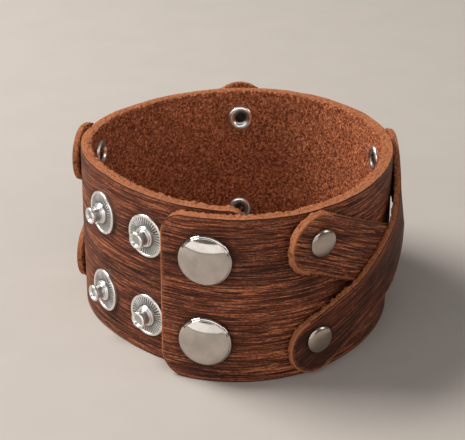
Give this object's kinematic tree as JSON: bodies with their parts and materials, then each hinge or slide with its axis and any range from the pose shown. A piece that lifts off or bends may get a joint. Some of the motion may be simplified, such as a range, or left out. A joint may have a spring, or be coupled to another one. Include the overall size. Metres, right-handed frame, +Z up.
{
  "type": "leather snap cuff bracelet",
  "caption": "Wide leather cuff bracelet closed by domed snaps in front, with two riveted straps zigzagging round it.",
  "frame": {"origin": "middle of the cuff's box, on the surface that the band's lower edge stands on", "axes": "+Z up along the wrist hole, -Y towards the snap caps in front, +X to the right of someone who faces the snaps"},
  "size_m": [0.0764, 0.0804, 0.039],
  "materials": {
    "band_leather": "worn brown, streaked, with tan cut edges",
    "strap_leather": "worn brown, streaked, with tan cut edges",
    "snap_nickel": "polished",
    "rivet_nickel": "polished"
  },
  "bodies": {
    "root": {"cuff_band": "band_leather", "strap_under": "strap_leather", "strap_over": "strap_leather", "snap_cap_upper": "snap_nickel", "snap_socket_upper": "snap_nickel", "snap_cap_lower": "snap_nickel", "snap_socket_lower": "snap_nickel", "snap_stud_1_upper": "snap_nickel", "snap_post_1_upper": "snap_nickel", "snap_stud_2_upper": "snap_nickel", "snap_post_2_upper": "snap_nickel", "snap_stud_3_upper": "snap_nickel", "snap_post_3_upper": "snap_nickel", "snap_stud_1_lower": "snap_nickel", "snap_post_1_lower": "snap_nickel", "snap_stud_2_lower": "snap_nickel", "snap_post_2_lower": "snap_nickel", "snap_stud_3_lower": "snap_nickel", "snap_post_3_lower": "snap_nickel", "rivet_cap_1_upper": "rivet_nickel", "rivet_post_1_upper": "rivet_nickel", "rivet_cap_1_lower": "rivet_nickel", "rivet_post_1_lower": "rivet_nickel", "rivet_cap_2_lower": "rivet_nickel", "rivet_post_2_lower": "rivet_nickel", "rivet_cap_2_upper": "rivet_nickel", "rivet_post_2_upper": "rivet_nickel", "rivet_cap_3_upper": "rivet_nickel", "rivet_post_3_upper": "rivet_nickel", "rivet_cap_3_lower": "rivet_nickel", "rivet_post_3_lower": "rivet_nickel", "rivet_cap_4_lower": "rivet_nickel", "rivet_post_4_lower": "rivet_nickel", "rivet_cap_4_upper": "rivet_nickel", "rivet_post_4_upper": "rivet_nickel"}
  },
  "joints": []
}
